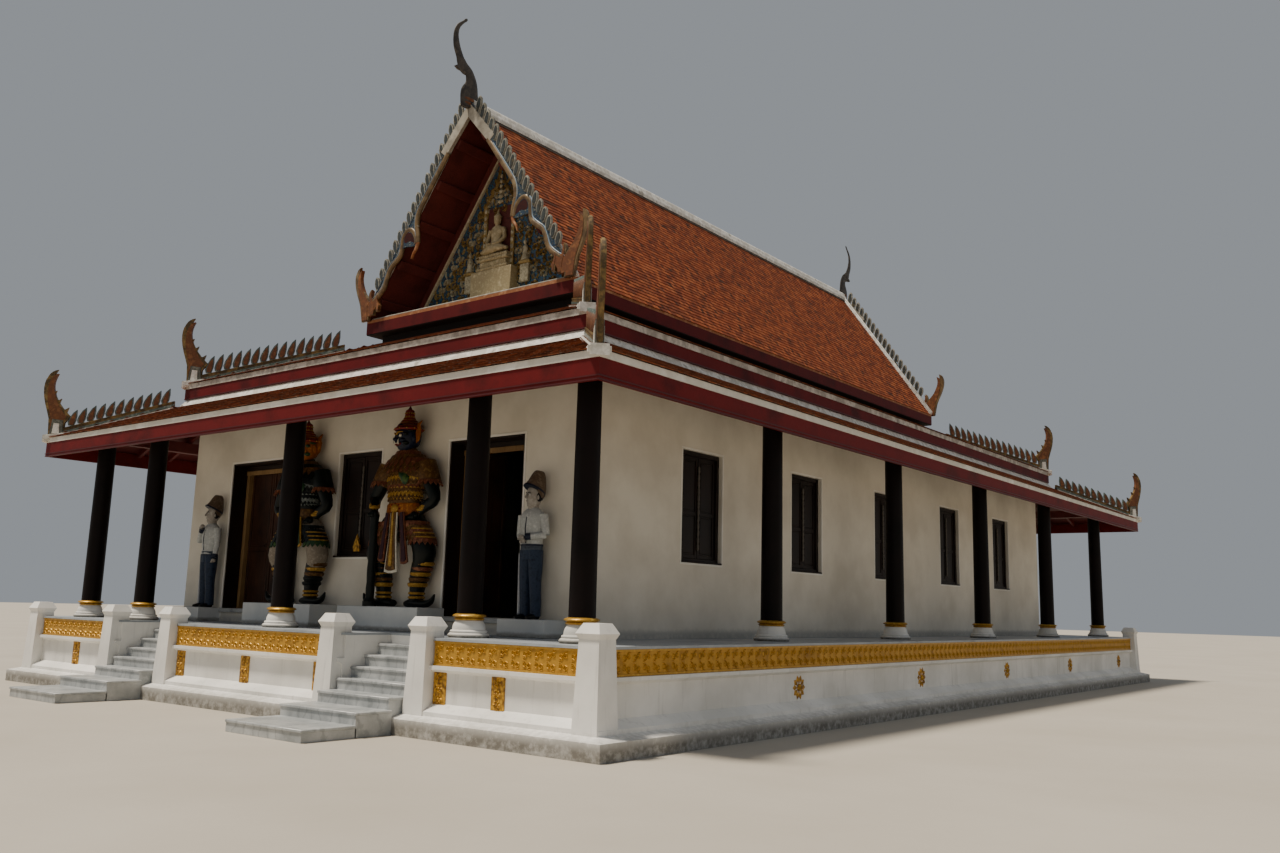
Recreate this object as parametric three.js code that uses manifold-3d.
// A Thai temple hall: white walls under a steep tiled gable and two hipped skirt roofs,
// a columned veranda all round, and a low platform with two flights of steps in front.
// Millimetres, +Z up. The front faces -Y, and +X is to the right of someone facing the front.

import * as THREE from "three";
import { mergeVertices } from "three/addons/utils/BufferGeometryUtils.js";
import Module from "manifold-3d";

const wasm = await Module();
wasm.setup();

// Driving dimensions. Plan lines are measured from the centre of the column grid.
const GAP = 0.3;
const platform = { halfX: 6534, front: -10997, rear: 10950, top: 1134 };
const columnLine = { halfX: 5803, front: -10440, rear: 10440, inner: 3960, sideBays: 5 };
const walls = { halfX: 4836, front: -9216, rear: 8700, thick: 500 };
const lowerEave = { halfX: 6577, front: -11200, rear: 11960 };
const middleEave = { halfX: 4944, front: -9550, rear: 9610 };
const upperEave = { halfX: 2634, front: -7273, rear: 7273 };
const ridgeTop = 10660;
const chofaTop = 12180;

// Parts of the platform
const baseCourse = { reach: 300, top: 250 };
const frieze = { bottom: 831, thick: 60 };
const floorThick = 30;
const stair = { centreX: 2900, wayWide: 1400, landingFront: -12550, wayBack: -10200 };
const stairPost = { wide: 300, high: 1130, capHigh: 110 };

// Parts of the front
const doorway = { centreX: 2840, wide: 1516, bottom: 1360, top: 3900 };
const doorFrame = { wide: 100, deep: 120, setBack: 270 };
const doorLeaf = { thick: 45, clear: 6, openAngle: 85 };
const window_ = { wide: 1050, bottom: 2220, top: 3880, pitch: 3165, ahead: 70, setBack: 60, thick: 60 };
const giantPlinth = { centreX: 1240, halfWide: 905, deep: 510, top: 1474 };
const soldierPlinth = { centreX: 4050, halfWide: 420, deep: 420, top: 1365 };

// Roof surfaces
const roofSlab = 120;
const lowerRoof = { edgeTop: 4320, boardBottom: 3979, innerTop: 5030, headTop: 5146 };
const middleRoof = { edgeTop: 5440, boardBottom: 5147, innerTop: 6400, innerHalfX: 2200, innerY: 6840 };
const upperBoard = { bottom: 6580, top: 6857 };
const boardThick = 60;

const paint = {
  plaster: new THREE.MeshStandardMaterial({ color: 0xe4e2dc, roughness: 0.85, metalness: 0 }),
  gold: new THREE.MeshStandardMaterial({ color: 0xb8862f, roughness: 0.6, metalness: 0.2 }),
  floor: new THREE.MeshStandardMaterial({ color: 0x8f959b, roughness: 0.6, metalness: 0 }),
  marble: new THREE.MeshStandardMaterial({ color: 0xb4b6b6, roughness: 0.4, metalness: 0 }),
  column: new THREE.MeshStandardMaterial({ color: 0x2a1613, roughness: 0.5, metalness: 0 }),
  door: new THREE.MeshStandardMaterial({ color: 0x2c1c14, roughness: 0.6, metalness: 0 }),
  frame: new THREE.MeshStandardMaterial({ color: 0x8d7450, roughness: 0.6, metalness: 0 }),
  roofTile: new THREE.MeshStandardMaterial({ color: 0xb4522d, roughness: 0.6, metalness: 0 }),
  redBoard: new THREE.MeshStandardMaterial({ color: 0x6e2022, roughness: 0.6, metalness: 0 }),
  ornament: new THREE.MeshStandardMaterial({ color: 0x8a6437, roughness: 0.5, metalness: 0.2 }),
  statue: new THREE.MeshStandardMaterial({ color: 0x6f5f45, roughness: 0.6, metalness: 0 }),
};

// Solids

function solid(geometry) {
  const bare = geometry.index ? geometry.toNonIndexed() : geometry.clone();
  bare.deleteAttribute("normal");
  bare.deleteAttribute("uv");
  const merged = mergeVertices(bare, 0.01);
  return new wasm.Manifold(
    new wasm.Mesh({
      numProp: 3,
      vertProperties: Float32Array.from(merged.attributes.position.array),
      triVerts: Uint32Array.from(merged.index.array),
    }),
  );
}

function geometryOf(body) {
  const { vertProperties, triVerts } = body.getMesh();
  const geometry = new THREE.BufferGeometry();
  geometry.setAttribute("position", new THREE.BufferAttribute(Float32Array.from(vertProperties), 3));
  geometry.setIndex(new THREE.BufferAttribute(Uint32Array.from(triVerts), 1));
  geometry.computeVertexNormals();
  return geometry;
}

function block([x0, x1], [y0, y1], [z0, z1]) {
  const geometry = new THREE.BoxGeometry(x1 - x0, y1 - y0, z1 - z0);
  geometry.translate((x0 + x1) / 2, (y0 + y1) / 2, (z0 + z1) / 2);
  return solid(geometry);
}

function union(bodies) {
  return bodies.reduce((whole, body) => whole.add(body));
}

function cut(body, holes) {
  return holes.reduce((left, hole) => left.subtract(hole), body);
}

function extruded(outline, depth) {
  const shape = new THREE.Shape(outline.map(([across, up]) => new THREE.Vector2(across, up)));
  return new THREE.ExtrudeGeometry(shape, { depth, bevelEnabled: false });
}

// A solid with the outline in X and Z, running along Y.
function alongY(outline, y0, y1) {
  const geometry = extruded(outline, y1 - y0);
  geometry.rotateX(Math.PI / 2);
  geometry.translate(0, y1, 0);
  return solid(geometry);
}

// A solid with the outline in Y and Z, running along X.
function alongX(outline, x0, x1) {
  const geometry = extruded(outline, x1 - x0);
  geometry.applyMatrix4(new THREE.Matrix4().set(0, 0, 1, 0, 1, 0, 0, 0, 0, 1, 0, 0, 0, 0, 0, 1));
  geometry.translate(x0, 0, 0);
  return solid(geometry);
}

function cylinder(x, y, z0, z1, radiusBottom, radiusTop = radiusBottom, sides = 14) {
  const geometry = new THREE.CylinderGeometry(radiusTop, radiusBottom, z1 - z0, sides);
  geometry.rotateX(Math.PI / 2);
  geometry.translate(x, y, (z0 + z1) / 2);
  return solid(geometry);
}

function ball(x, y, z, radiusX, radiusY = radiusX, radiusZ = radiusX) {
  const geometry = new THREE.SphereGeometry(1, 12, 8);
  geometry.rotateX(Math.PI / 2);
  geometry.scale(radiusX, radiusY, radiusZ);
  geometry.translate(x, y, z);
  return solid(geometry);
}

// A round limb from one point to another.
function limb(from, to, radiusFrom, radiusTo = radiusFrom) {
  const start = new THREE.Vector3(...from);
  const end = new THREE.Vector3(...to);
  const geometry = new THREE.CylinderGeometry(radiusTo, radiusFrom, start.distanceTo(end), 10);
  const turn = new THREE.Quaternion().setFromUnitVectors(
    new THREE.Vector3(0, 1, 0),
    end.clone().sub(start).normalize(),
  );
  geometry.applyQuaternion(turn);
  geometry.translate(...start.add(end).multiplyScalar(0.5).toArray());
  return solid(geometry);
}

// A rectangle in plan, set outwards by reach on all four sides.
function setOut(rect, reach) {
  return { halfX: rect.halfX + reach, front: rect.front - reach, rear: rect.rear + reach };
}

// A rectangle in plan between two others.
function between(outer, inner, share) {
  const mix = (a, b) => a + (b - a) * share;
  return {
    halfX: mix(outer.halfX, inner.halfX),
    front: mix(outer.front, inner.front),
    rear: mix(outer.rear, inner.rear),
  };
}

function corners({ halfX, front, rear }, z) {
  return [
    [-halfX, front, z],
    [halfX, front, z],
    [halfX, rear, z],
    [-halfX, rear, z],
  ];
}

// Walls between stacked rectangles, listed from the bottom up on the outside. A ring joins
// the last rectangle to the first one, and a solid stack closes both ends with a flat face.
function stacked(rects, ring) {
  const points = rects.flatMap(([rect, z]) => corners(rect, z));
  const faces = [];
  const levels = ring ? rects.length : rects.length - 1;
  for (let level = 0; level < levels; level += 1) {
    const low = level * 4;
    const high = ((level + 1) % rects.length) * 4;
    for (let side = 0; side < 4; side += 1) {
      const next = (side + 1) % 4;
      faces.push([low + side, low + next, high + next], [low + side, high + next, high + side]);
    }
  }
  if (!ring) {
    const last = (rects.length - 1) * 4;
    faces.push([0, 2, 1], [0, 3, 2], [last, last + 1, last + 2], [last, last + 2, last + 3]);
  }
  const geometry = new THREE.BufferGeometry();
  geometry.setAttribute("position", new THREE.Float32BufferAttribute(points.flat(), 3));
  geometry.setIndex(faces.flat());
  return solid(geometry);
}

const hall = new THREE.Group();

function addPiece(name, body, material, parent = hall) {
  const mesh = new THREE.Mesh(geometryOf(body), material);
  mesh.name = name;
  parent.add(mesh);
  return mesh;
}

const sides = [
  ["left", -1],
  ["right", 1],
];
const ends = [
  ["front", -1],
  ["rear", 1],
];

// Platform: a base course, a dado and a ledge under the gold band, with a way for each stair.
const stairWay = (sign, extra = 0) => [
  sign * stair.centreX - stair.wayWide / 2 - extra,
  sign * stair.centreX + stair.wayWide / 2 + extra,
];

function stairCut(sign, z0) {
  return block(stairWay(sign), [platform.front - 1000, stair.wayBack], [z0, platform.top + 500]);
}

const dado = setOut(platform, -40);
const bandBack = setOut(platform, -frieze.thick - GAP);

// A post stands at each corner of the platform and on both sides of each stair.
const postLine = {
  cornerX: platform.halfX - 60,
  flankX: stair.wayWide / 2 + stairPost.wide / 2 + 40,
  front: platform.front + 40,
  rear: platform.rear - 60,
};

function posts() {
  const places = [-1, 1].flatMap((sign) => [
    [sign * postLine.cornerX, postLine.front],
    [sign * postLine.cornerX, postLine.rear],
    [sign * stair.centreX - postLine.flankX, postLine.front],
    [sign * stair.centreX + postLine.flankX, postLine.front],
  ]);
  const foot = stairPost.wide / 2 + 25;
  const head = stairPost.wide / 2 - 10;
  const neck = baseCourse.top + stairPost.high - stairPost.capHigh;
  const square = (half) => ({ halfX: half, front: -half, rear: half });
  const rects = [
    [square(foot), 100],
    [square(foot), baseCourse.top],
    [square(head), neck - 60],
    [square(head + 30), neck],
    [square(head - 30), neck + stairPost.capHigh],
  ];
  return places.map(([x, y]) => stacked(rects, false).translate([x, y, 0]));
}

const plinthBody = stacked(
  [
    [setOut(platform, baseCourse.reach), 0],
    [setOut(platform, baseCourse.reach), 190],
    [setOut(platform, 120), 235],
    [setOut(platform, 120), 285],
    [setOut(platform, 40), 330],
    [dado, 372],
    [dado, 730],
    [setOut(platform, 40), 770],
    [setOut(platform, 40), frieze.bottom - 20],
    [bandBack, frieze.bottom - 20],
    [bandBack, platform.top - floorThick - GAP],
  ],
  false,
);
const plinthWithPosts = union([plinthBody, ...posts()]);
addPiece("plinth", cut(plinthWithPosts, [stairCut(-1, -10), stairCut(1, -10)]), paint.plaster);

// The gold band is made of three panels in front and one length round the other three sides.
const bandTop = platform.top - floorThick - GAP;
const bandRing = stacked(
  [
    [setOut(platform, -frieze.thick), frieze.bottom - 20 + GAP],
    [platform, frieze.bottom - 20 + GAP],
    [platform, bandTop],
    [setOut(platform, -frieze.thick), bandTop],
  ],
  true,
);
const postClear = stairPost.wide / 2 + 27;

function bandPart([x0, x1], [y0, y1]) {
  return bandRing.intersect(block([x0, x1], [y0, y1], [frieze.bottom - 100, platform.top]));
}

const frontBand = [platform.front - 100, platform.front + 100];
const outerPanel = [stair.centreX + postLine.flankX + postClear, postLine.cornerX - postClear];
addPiece("gold_band_front_right", bandPart(outerPanel, frontBand), paint.gold);
addPiece("gold_band_front_left", bandPart([-outerPanel[1], -outerPanel[0]], frontBand), paint.gold);
const innerEdge = stair.centreX - postLine.flankX - postClear;
addPiece("gold_band_front_centre", bandPart([-innerEdge, innerEdge], frontBand), paint.gold);
const bandSides = bandPart([-7000, 7000], [postLine.front + postClear, platform.rear + 100]);
const rearPosts = [-1, 1].map((sign) =>
  block(
    [sign * postLine.cornerX - postClear, sign * postLine.cornerX + postClear],
    [postLine.rear - postClear, postLine.rear + postClear],
    [0, 2000],
  ),
);
const splitBand = cut(bandSides, rearPosts);
splitBand.decompose().forEach((piece) => {
  const { min, max } = piece.boundingBox();
  const onSide = min[0] > 0 ? "right" : "rear";
  addPiece(max[0] < 0 ? "gold_band_left" : `gold_band_${onSide}`, piece, paint.gold);
});

// Veranda floor, cut out round the posts and over the stairs.
const floorSlab = stacked(
  [
    [setOut(platform, 8), platform.top - floorThick],
    [setOut(platform, 8), platform.top],
  ],
  false,
);
const postHoles = posts().map((post) => {
  const { min, max } = post.boundingBox();
  return block([min[0] - 3, max[0] + 3], [min[1] - 3, max[1] + 3], [0, 2000]);
});
addPiece("veranda_floor", cut(floorSlab, [stairCut(-1, 0), stairCut(1, 0), ...postHoles]), paint.floor);

// Stairs: two broad landings outside, then steps let into the platform. The top riser is the
// edge of the floor itself.
const riserHigh = platform.top / 8;
const landings = [stair.landingFront, -11830];
const treads = [-11330, -11050, -10840, -10630, -10420];

function stairFlight(sign) {
  const way = stairWay(sign, -GAP);
  const landingWay = stairWay(sign, 45);
  const landingBack = platform.front - baseCourse.reach - GAP;
  const low = landings.map((front, index) =>
    block(landingWay, [front, landingBack], [0, (index + 1) * riserHigh]),
  );
  const high = treads.map((front, index) =>
    block(way, [front, stair.wayBack - GAP], [0, (landings.length + index + 1) * riserHigh]),
  );
  return union([...low, ...high]);
}

sides.forEach(([side, sign]) => addPiece(`stair_${side}`, stairFlight(sign), paint.marble));

// The underside of a skirt roof, from its eave line to its inner line, just clear of a piece
// whose outer face is on the given line.
const lowerInner = setOut(middleEave, -64);
const middleInner = { halfX: middleRoof.innerHalfX, front: -middleRoof.innerY, rear: middleRoof.innerY };

function underside(roof, eaveLine, innerLine, outerFace) {
  const start = eaveLine - boardThick;
  const share = (start - outerFace) / (start - innerLine);
  return roof.edgeTop - roofSlab + share * (roof.innerTop - roof.edgeTop) - GAP;
}

// Colonnades: each row of columns stands on round bases and carries an eave beam, which
// holds the row together. A beam reaches up to the sloping underside of the lower roof.
const sideBay = (columnLine.rear - columnLine.front) / columnLine.sideBays;
const endColumns = [-columnLine.halfX, -columnLine.inner, 0, columnLine.inner, columnLine.halfX];
const sideColumns = [1, 2, 3, 4].map((bay) => columnLine.front + bay * sideBay);
const columnBase = { radius: 262, waist: 185, ring: 210, ringBottom: 1345, top: 1425 };
const column = { radiusBottom: 158, radiusTop: 146, top: 4300, sides: 12 };
const beam = { wide: 150, bottom: 4280 };
const beamHalf = beam.wide / 2;
const sideBeamTop = underside(lowerRoof, lowerEave.halfX, lowerInner.halfX, columnLine.halfX + beamHalf);

function columnAt([x, y]) {
  const profile = [
    [0, platform.top + GAP],
    [columnBase.radius, platform.top + GAP],
    [columnBase.radius, platform.top + 50],
    [columnBase.waist, columnBase.ringBottom],
    [columnBase.ring, columnBase.ringBottom + 15],
    [columnBase.ring, columnBase.top],
    [column.radiusBottom, columnBase.top],
    [column.radiusTop, column.top],
    [0, column.top],
  ];
  const points = profile.map(([radius, z]) => new THREE.Vector2(radius, z));
  const geometry = new THREE.LatheGeometry(points, column.sides);
  geometry.rotateX(Math.PI / 2);
  geometry.translate(x, y, 0);
  return solid(geometry);
}

ends.forEach(([end, sign]) => {
  const y = columnLine[end];
  const row = endColumns.map((x) => columnAt([x, y]));
  const reach = columnLine.halfX + beamHalf;
  const ownTop = underside(lowerRoof, sign * lowerEave[end], sign * lowerInner[end], sign * y + beamHalf);
  const top = Math.min(ownTop, sideBeamTop);
  const topBeam = block([-reach, reach], [y - beamHalf, y + beamHalf], [beam.bottom, top]);
  addPiece(`colonnade_${end}`, union([...row, topBeam]), paint.column);
});
sides.forEach(([side, sign]) => {
  const x = sign * columnLine.halfX;
  const row = sideColumns.map((y) => columnAt([x, y]));
  const clear = column.radiusBottom + GAP;
  const run = [columnLine.front + clear, columnLine.rear - clear];
  const topBeam = block([x - beamHalf, x + beamHalf], run, [beam.bottom, sideBeamTop]);
  addPiece(`colonnade_${side}`, union([...row, topBeam]), paint.column);
});

// Walls, with the windows cut through them.
const wallTop = underside(middleRoof, middleEave.halfX, middleInner.halfX, walls.halfX);
const innerX = walls.halfX - walls.thick;
const wallBottom = platform.top + GAP;
const windowMiddle = (walls.front + walls.rear) / 2 - window_.ahead;
const windowCentres = [-2, -1, 0, 1, 2].map((place) => windowMiddle + place * window_.pitch);
const frontInner = walls.front + walls.thick;
const rearInner = walls.rear - walls.thick;

function windowHoleX(y) {
  const half = window_.wide / 2;
  return block([-7000, 7000], [y - half, y + half], [window_.bottom, window_.top]);
}

sides.forEach(([side, sign]) => {
  const span = [sign * innerX, sign * walls.halfX].sort((a, b) => a - b);
  const wall = block(span, [frontInner + GAP, rearInner - GAP], [wallBottom, wallTop]);
  addPiece(`${side}_wall`, cut(wall, windowCentres.map(windowHoleX)), paint.plaster);
});

function endWindowHole(x) {
  const half = window_.wide / 2;
  return block([x - half, x + half], [-12000, 12000], [window_.bottom, window_.top]);
}

const rearWindows = [-doorway.centreX, doorway.centreX];
const rearWall = block([-walls.halfX, walls.halfX], [rearInner, walls.rear], [wallBottom, wallTop]);
addPiece("rear_wall", cut(rearWall, rearWindows.map(endWindowHole)), paint.plaster);

const doorHalf = doorway.wide / 2;
const doorInside = doorway.centreX - doorHalf;
const doorOutside = doorway.centreX + doorHalf;
const frontWallY = [walls.front, frontInner];
const frontMiddle = block([-doorInside, doorInside], frontWallY, [wallBottom, doorway.top]);
const sills = block([-doorOutside + GAP, doorOutside - GAP], frontWallY, [wallBottom, doorway.bottom]);
addPiece("front_wall_middle", cut(union([frontMiddle, sills]), [endWindowHole(0)]), paint.plaster);
sides.forEach(([side, sign]) => {
  const span = [sign * doorOutside, sign * walls.halfX].sort((a, b) => a - b);
  addPiece(`front_wall_${side}`, block(span, frontWallY, [wallBottom, doorway.top]), paint.plaster);
});
const header = block([-walls.halfX, walls.halfX], frontWallY, [doorway.top + GAP, wallTop]);
addPiece("front_wall_header", header, paint.plaster);

// Windows: a timber frame with a pair of shutters closed in it.
function windowPanel(facing) {
  const wide = window_.wide / 2 - GAP;
  const high = [window_.bottom + GAP, window_.top - GAP];
  const frameWide = 70;
  const frame = cut(block([-wide, wide], [0, window_.thick + 50], high), [
    block([-wide + frameWide, wide - frameWide], [-50, 500], [high[0] + frameWide, high[1] - frameWide]),
  ]);
  const shutters = block([-wide + 20, wide - 20], [30, 30 + window_.thick], [high[0] + 20, high[1] - 20]);
  const strip = block([-25, 25], [5, 50], [high[0] + frameWide - 10, high[1] - frameWide + 10]);
  return union([frame, shutters, strip]).rotate([0, 0, facing]);
}

windowCentres.forEach((y, index) => {
  const depth = walls.halfX - window_.setBack;
  addPiece(`right_window_${index + 1}`, windowPanel(90).translate([depth, y, 0]), paint.door);
  addPiece(`left_window_${index + 1}`, windowPanel(-90).translate([-depth, y, 0]), paint.door);
});
const frontWindow = windowPanel(0).translate([0, walls.front + window_.setBack, 0]);
addPiece("front_window", frontWindow, paint.door);
rearWindows.forEach((x, index) => {
  const panel = windowPanel(180).translate([x, walls.rear - window_.setBack, 0]);
  addPiece(`rear_window_${index + 1}`, panel, paint.door);
});

// Doors: a frame in each doorway, and two leaves that turn inwards on pivots.
const frameFront = walls.front + doorFrame.setBack;
const frameBack = frameFront + doorFrame.deep;
const leafHigh = [doorway.bottom + doorLeaf.clear, doorway.top - doorFrame.wide - doorLeaf.clear - GAP];
const leafHalf = doorLeaf.thick / 2;
const openingHalf = doorHalf - doorFrame.wide - GAP;
const leafWide = openingHalf - doorLeaf.clear * 1.5;

// The leaf runs from its heel at the origin towards +X, or towards -X when it is mirrored.
function leafBody(hand) {
  const run = [0, hand * (leafWide - leafHalf)].sort((a, b) => a - b);
  const panel = block(run, [-leafHalf, leafHalf], leafHigh);
  const heel = cylinder(0, 0, leafHigh[0], leafHigh[1], leafHalf);
  const pivotReach = doorLeaf.clear - GAP;
  const pivot = cylinder(0, 0, leafHigh[0] - pivotReach, leafHigh[1] + pivotReach, leafHalf - 7);
  return union([panel, heel, pivot]);
}

sides.forEach(([side, sign]) => {
  const centre = sign * doorway.centreX;
  const outer = [centre - doorHalf + GAP, centre + doorHalf - GAP];
  const frameBox = block(outer, [frameFront, frameBack], [doorway.bottom + GAP, doorway.top - GAP]);
  const frameHole = block(
    [centre - openingHalf, centre + openingHalf],
    [frameFront - 50, frameBack + 50],
    [0, doorway.top - GAP - doorFrame.wide],
  );
  addPiece(`door_frame_${side}`, cut(frameBox, [frameHole]), paint.frame);
  [
    ["a", 1],
    ["b", -1],
  ].forEach(([leaf, hand]) => {
    const hinge = new THREE.Group();
    const heelX = centre - hand * (openingHalf - doorLeaf.clear - leafHalf);
    hinge.position.set(heelX, frameBack - leafHalf, 0);
    const angle = side === "right" ? doorLeaf.openAngle : 0;
    hinge.rotation.z = THREE.MathUtils.degToRad(hand * angle);
    addPiece(`door_leaf_${side}_${leaf}`, leafBody(hand), paint.door, hinge);
    hall.add(hinge);
  });
});

// A flame-shaped finial that stands at the foot of a rake or a hip. It is drawn one unit
// high from the outer edge of its foot, curls over the low side and leans out by lean.
function finialOutline(start, foot, high, lean) {
  const shape = new THREE.Shape();
  shape.moveTo(0, 0);
  shape.lineTo(0, 0.3);
  shape.quadraticCurveTo(-0.14, 0.62, -0.11, 0.8);
  shape.quadraticCurveTo(-0.08, 0.98, 0.045, 1);
  shape.quadraticCurveTo(-0.05, 0.86, 0.01, 0.72);
  shape.quadraticCurveTo(0.1, 0.48, 0.29, 0.33);
  shape.lineTo(0.2, 0.25);
  shape.lineTo(0.2, 0);
  const points = shape.getPoints(5);
  return points.map(({ x, y }) => [start + (x - lean * y) * high, foot + y * high]).reverse();
}

// The crest on each hip: a low rail that rises inwards from the corner, with a finial at
// its foot. It is drawn from the corner along +Y and then turned to lie over the hip.
const crest = { thick: 70, high: 130, sink: 30, start: 60, finialHigh: 1320 };

function hipCrests(outer, inner, edgeTop, innerTop) {
  const runX = outer.halfX - inner.halfX;
  const half = crest.thick / 2;
  return ends.flatMap(([end, signY]) => {
    const runY = Math.abs(outer[end] - inner[end]);
    const run = Math.hypot(runX, runY);
    const rail = [
      [crest.start, edgeTop - crest.sink],
      [run, innerTop - crest.sink],
      [run, innerTop + crest.high],
      [crest.start, edgeTop + crest.high],
    ];
    const finial = finialOutline(crest.start - 40, edgeTop - crest.sink, crest.finialHigh, 0);
    const body = union([alongX(rail, -half, half), alongX(finial, -half, half)]);
    return [-1, 1].map((signX) => {
      const turn = Math.atan2(signX * runX, -signY * runY);
      return body
        .rotate([0, 0, THREE.MathUtils.radToDeg(turn)])
        .translate([signX * outer.halfX, outer[end], 0]);
    });
  });
}

// Skirt roofs: hipped rings with a deep board under their edge.
const lowerAt = (share) => between(lowerEave, lowerInner, share);
const lowerBody = stacked(
  [
    [lowerAt(0), lowerRoof.boardBottom],
    [lowerAt(0), lowerRoof.edgeTop],
    [lowerAt(0.97), lowerRoof.innerTop],
    [lowerAt(0.97), lowerRoof.headTop],
    [lowerAt(1), lowerRoof.headTop],
    [lowerAt(1), lowerRoof.innerTop - roofSlab],
    [setOut(lowerEave, -boardThick), lowerRoof.edgeTop - roofSlab],
    [setOut(lowerEave, -boardThick), lowerRoof.boardBottom],
  ],
  true,
);
const lowerCrestTop = lowerRoof.edgeTop + (0.9 / 0.97) * (lowerRoof.innerTop - lowerRoof.edgeTop);
const lowerCrests = hipCrests(lowerEave, lowerAt(0.9), lowerRoof.edgeTop, lowerCrestTop);
addPiece("lower_roof", union([lowerBody, ...lowerCrests]), paint.roofTile);

const middleAt = (share) => between(middleEave, middleInner, share);
const middleBody = stacked(
  [
    [middleAt(0), middleRoof.boardBottom],
    [middleAt(0), middleRoof.edgeTop],
    [middleAt(0.9), middleRoof.innerTop],
    [middleAt(1), middleRoof.innerTop],
    [middleAt(1), middleRoof.innerTop - roofSlab],
    [setOut(middleEave, -boardThick), middleRoof.edgeTop - roofSlab],
    [setOut(middleEave, -boardThick), middleRoof.boardBottom],
  ],
  true,
);
const crestInner = setOut(upperEave, 60);
const crestRise = (middleRoof.innerTop - middleRoof.edgeTop) / 0.9 / (middleEave.halfX - middleInner.halfX);
const crestTop = middleRoof.edgeTop + (middleEave.halfX - crestInner.halfX) * crestRise;
const middleCrests = hipCrests(middleEave, crestInner, middleRoof.edgeTop, crestTop);
addPiece("middle_roof", union([middleBody, ...middleCrests]), paint.roofTile);

// The board under the main eaves, with a recessed neck that stands on the middle roof.
const neckFace = setOut(upperEave, -220);
const neckBack = setOut(upperEave, -300);
const upperBody = stacked(
  [
    [neckBack, middleRoof.innerTop + GAP],
    [neckFace, middleRoof.innerTop + GAP],
    [neckFace, upperBoard.bottom],
    [upperEave, upperBoard.bottom],
    [upperEave, upperBoard.top],
    [neckBack, upperBoard.top],
  ],
  true,
);
addPiece("upper_eave_board", upperBody, paint.redBoard);

// Main roof: two steep slopes, a ridge cap, and a gable wall at each end.
const gable = { end: 7290, apex: 10540, wallFace: 6420, wallThick: 120, eave: upperBoard.top + GAP };
const pitchRise = (gable.apex - gable.eave) / upperEave.halfX;
const slopeThick = 230;
const innerEaveX = upperEave.halfX - slopeThick / pitchRise;
const mainRoof = alongY(
  [
    [-upperEave.halfX, gable.eave],
    [-innerEaveX, gable.eave],
    [0, gable.apex - slopeThick],
    [innerEaveX, gable.eave],
    [upperEave.halfX, gable.eave],
    [0, gable.apex],
  ],
  -gable.end,
  gable.end,
);
addPiece("main_roof", mainRoof, paint.roofTile);

const capHalf = 150;
const capFoot = gable.apex - capHalf * pitchRise;
const ridgeCap = cut(
  alongY(
    [
      [-capHalf, capFoot + 60],
      [capHalf, capFoot + 60],
      [capHalf - 60, ridgeTop],
      [-capHalf + 60, ridgeTop],
    ],
    -gable.end,
    gable.end,
  ),
  [
    alongY(
      [
        [-upperEave.halfX, gable.eave + GAP],
        [upperEave.halfX, gable.eave + GAP],
        [0, gable.apex + GAP],
      ],
      -gable.end - 100,
      gable.end + 100,
    ),
  ],
);
addPiece("ridge_cap", ridgeCap, paint.plaster);

const gableClear = 1;
const gableOutline = [
  [-innerEaveX + gableClear, gable.eave],
  [innerEaveX - gableClear, gable.eave],
  [0, gable.apex - slopeThick - gableClear * pitchRise],
];
const ledgeHigh = 70;
ends.forEach(([end, sign]) => {
  const wallSpan = [sign * gable.wallFace, sign * (gable.wallFace - gable.wallThick)].sort((a, b) => a - b);
  const ledgeSpan = [sign * (upperEave.rear - 20), sign * (gable.wallFace - 60)].sort((a, b) => a - b);
  const ledgeHalf = innerEaveX - 80;
  const ledge = block([-ledgeHalf, ledgeHalf], ledgeSpan, [gable.eave, gable.eave + ledgeHigh]);
  addPiece(`pediment_${end}`, union([alongY(gableOutline, ...wallSpan), ledge]), paint.ornament);
});

// Bargeboards: a board along the rake whose inner edge winds like a serpent, with
// leaf-shaped fins along the outer edge and a finial at each foot.
const barge = { thick: 70, rise: 90, fins: 17, finLow: 30, finHigh: 320, finialHigh: 1120 };
const serpentLobe = [
  [0, 10320],
  [560, 9700],
  [790, 9390],
  [1130, 8930],
  [1255, 8720],
  [1285, 8500],
  [1240, 8300],
  [1225, 8150],
  [1290, 7990],
  [1370, 7890],
];
const serpentTail = [
  [1430, 8070],
  [1500, 8160],
  [1600, 8130],
  [1680, 8000],
  [1810, 7860],
  [1970, 7740],
  [2050, 7580],
  [2130, 7400],
  [2300, 7250],
  [2500, 7120],
];

function smooth(points) {
  const curve = new THREE.SplineCurve(points.map(([across, up]) => new THREE.Vector2(across, up)));
  return curve.getPoints(points.length * 2).map((point) => [point.x, point.y]);
}

const rakeTop = (x) => gable.apex - x * pitchRise;

// One fin leans from its root towards the ridge and ends in a point.
function rakeFin(x) {
  return [
    [x, rakeTop(x) - barge.finLow],
    [x + 90, rakeTop(x + 90) - barge.finLow],
    [x + 150, rakeTop(x + 150) + 0.6 * barge.finHigh],
    [x + 110, rakeTop(x + 110) + barge.finHigh],
    [x + 60, rakeTop(x + 60) + 0.8 * barge.finHigh],
  ];
}

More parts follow.
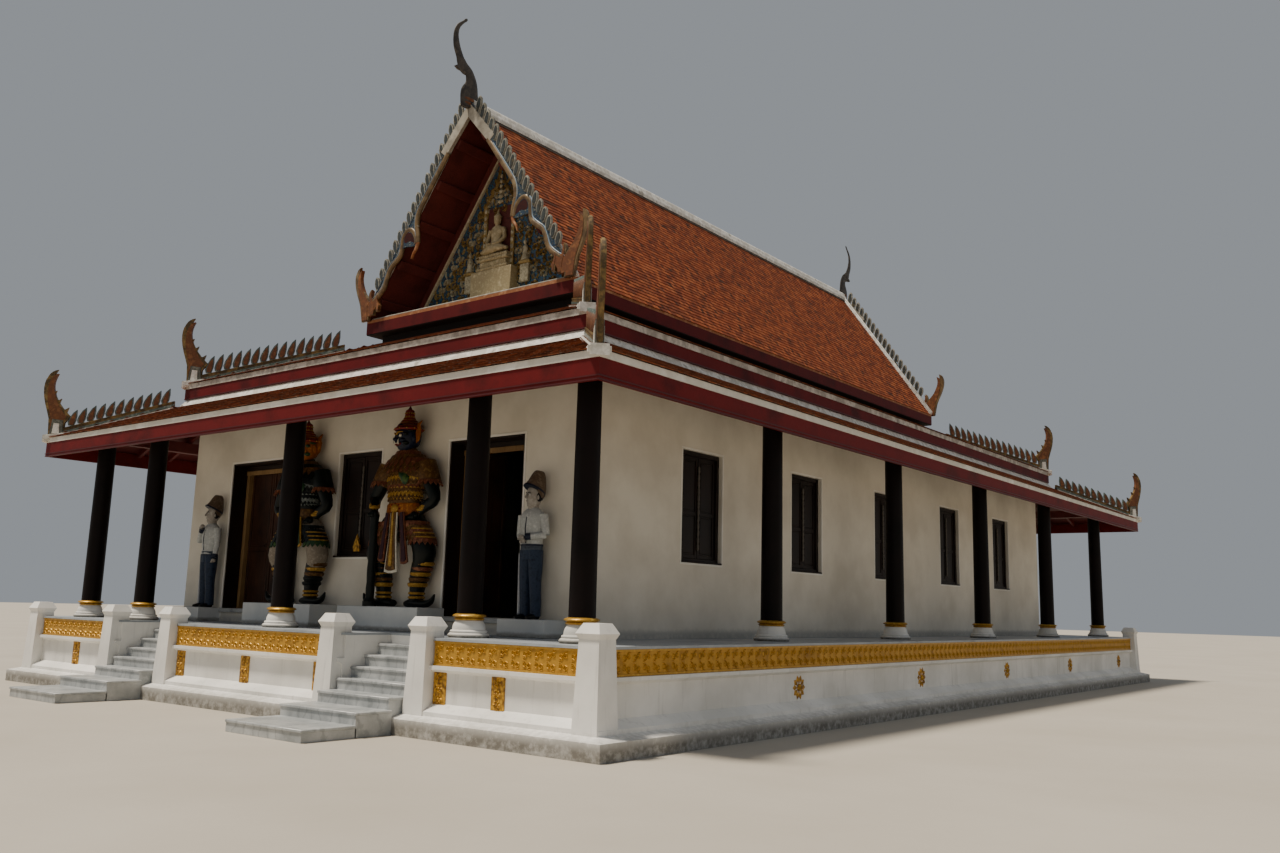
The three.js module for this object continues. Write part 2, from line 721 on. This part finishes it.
function bargeHalf(sign) {
  const foot = upperEave.halfX + 20;
  const board = [
    ...smooth(serpentLobe),
    ...smooth(serpentTail),
    [foot - 60, rakeTop(foot)],
    [foot, rakeTop(foot) + barge.rise],
    [0, ridgeTop],
  ];
  const firstFin = 130;
  const pitch = (upperEave.halfX - 350 - firstFin) / (barge.fins - 1);
  const fins = Array.from({ length: barge.fins }, (_, fin) => rakeFin(firstFin + fin * pitch));
  const finial = finialOutline(-foot - 40, rakeTop(foot), barge.finialHigh, 0.1);
  const outlines = [board, ...fins, finial.map(([x, z]) => [-x, z]).reverse()];
  return outlines.map((outline) => (sign > 0 ? outline : outline.map(([x, z]) => [-x, z]).reverse()));
}

ends.forEach(([end, sign]) => {
  const span = [sign * (gable.end + GAP), sign * (gable.end + GAP + barge.thick)].sort((a, b) => a - b);
  const outlines = [...bargeHalf(1), ...bargeHalf(-1)];
  addPiece(`bargeboard_${end}`, union(outlines.map((outline) => alongY(outline, ...span))), paint.ornament);
});

// Ridge finials: a slender bird's neck with a beak, leaning out over the gable. The outline
// is measured forwards from the face of the bargeboard and upwards from the ridge.
const chofaFace = gable.end + barge.thick + 3 * GAP;
const chofaBreast = [
  [0, -180],
  [180, -200],
  [215, 0],
  [105, 250],
  [110, 390],
  [200, 480],
];
const chofaNeck = [
  [290, 450],
  [375, 640],
  [450, 850],
  [460, 1090],
  [400, 1280],
  [240, 1400],
  [235, chofaTop - ridgeTop],
];
const chofaBack = [
  [190, 1450],
  [240, 1360],
  [320, 1270],
  [350, 1110],
  [300, 900],
  [180, 700],
  [20, 580],
  [-110, 470],
  [-190, 300],
  [-270, GAP],
];
const chofaOutline = [...smooth(chofaBreast), ...smooth(chofaNeck), ...smooth(chofaBack), [0, GAP]];
const chofaHalf = 45;

ends.forEach(([end, sign]) => {
  const outline = chofaOutline.map(([out, up]) => [sign * (chofaFace + out), ridgeTop + up]);
  const ordered = sign > 0 ? outline : outline.reverse();
  addPiece(`chofa_${end}`, alongX(ordered, -chofaHalf, chofaHalf), paint.ornament);
});

// Guardian giants and soldiers, each on its own plinth against the front wall.
function figurePlinth(sign, plinth) {
  const back = walls.front - GAP;
  const x = sign * plinth.centreX;
  const spread = [x - plinth.halfWide, x + plinth.halfWide];
  return block(spread, [back - plinth.deep, back], [platform.top + GAP, plinth.top]);
}

// A giant stands with bent knees turned out and its fists at the hips, or one on a club. Its
// body is flattened towards the wall behind it.
function giant(x, clubSide) {
  const foot = giantPlinth.top;
  const y = walls.front - 200;
  const clubX = x + clubSide * 400;
  const clubY = walls.front - 430;
  const limbs = [-1, 1].flatMap((side) => {
    const shoeX = x + side * 455;
    const atHip = [x + side * 360, y - 70, foot + 1310];
    const fist = side === clubSide ? [clubX, clubY, foot + 1340] : atHip;
    return [
      block([shoeX - 265, shoeX + 265], [y - 120, y + 120], [foot - 10, foot + 130]),
      limb([x + side * 360, y, foot + 60], [x + side * 540, y - 20, foot + 780], 120, 165),
      limb([x + side * 540, y - 20, foot + 780], [x + side * 180, y, foot + 1260], 170, 180),
      limb([x + side * 430, y, foot + 2060], [x + side * 640, y - 10, foot + 1560], 130, 95),
      limb([x + side * 640, y - 10, foot + 1560], fist, 95, 80),
    ];
  });
  const club = clubSide ? [cylinder(clubX, clubY, foot - 10, foot + 1400, 55)] : [];
  return union([
    ...limbs,
    ...club,
    ball(x, y, foot + 1350, 350, 190, 260),
    ball(x, y, foot + 1800, 370, 190, 470),
    ball(x, y, foot + 2060, 520, 180, 200),
    ball(x, y - 20, foot + 2500, 230, 175, 260),
    cylinder(x, y - 20, foot + 2650, foot + 3000, 170, 35),
  ]);
}

function soldier(x) {
  const foot = soldierPlinth.top;
  const y = walls.front - 200;
  const limbs = [-1, 1].flatMap((side) => [
    limb([x + side * 85, y, foot - 10], [x + side * 70, y, foot + 860], 75, 95),
    limb([x + side * 200, y, foot + 1400], [x + side * 240, y, foot + 1080], 62, 52),
    limb([x + side * 240, y, foot + 1080], [x + side * 40, y - 170, foot + 1030], 52, 42),
  ]);
  return union([
    ...limbs,
    cylinder(x, y, foot + 800, foot + 1420, 155, 195),
    ball(x, y, foot + 1420, 215, 120, 90),
    ball(x, y - 10, foot + 1600, 100, 118, 140),
    cylinder(x, y - 10, foot + 1670, foot + 1950, 150, 75),
  ]);
}

const giantX = { left: -1140, right: 1390 };
const soldierX = { left: -3800, right: 4000 };
sides.forEach(([side, sign]) => {
  const clubSide = sign > 0 ? -1 : 0;
  const giantBody = union([figurePlinth(sign, giantPlinth), giant(giantX[side], clubSide)]);
  addPiece(`giant_${side}`, giantBody, paint.statue);
  const soldierBody = union([figurePlinth(sign, soldierPlinth), soldier(soldierX[side])]);
  addPiece(`soldier_${side}`, soldierBody, paint.statue);
});

// The origin is on the ground under the middle of the whole outline.
const outline = new THREE.Box3().setFromObject(hall);
hall.position.y = -(outline.min.y + outline.max.y) / 2;
const group = new THREE.Group();
group.add(hall);

export default group;
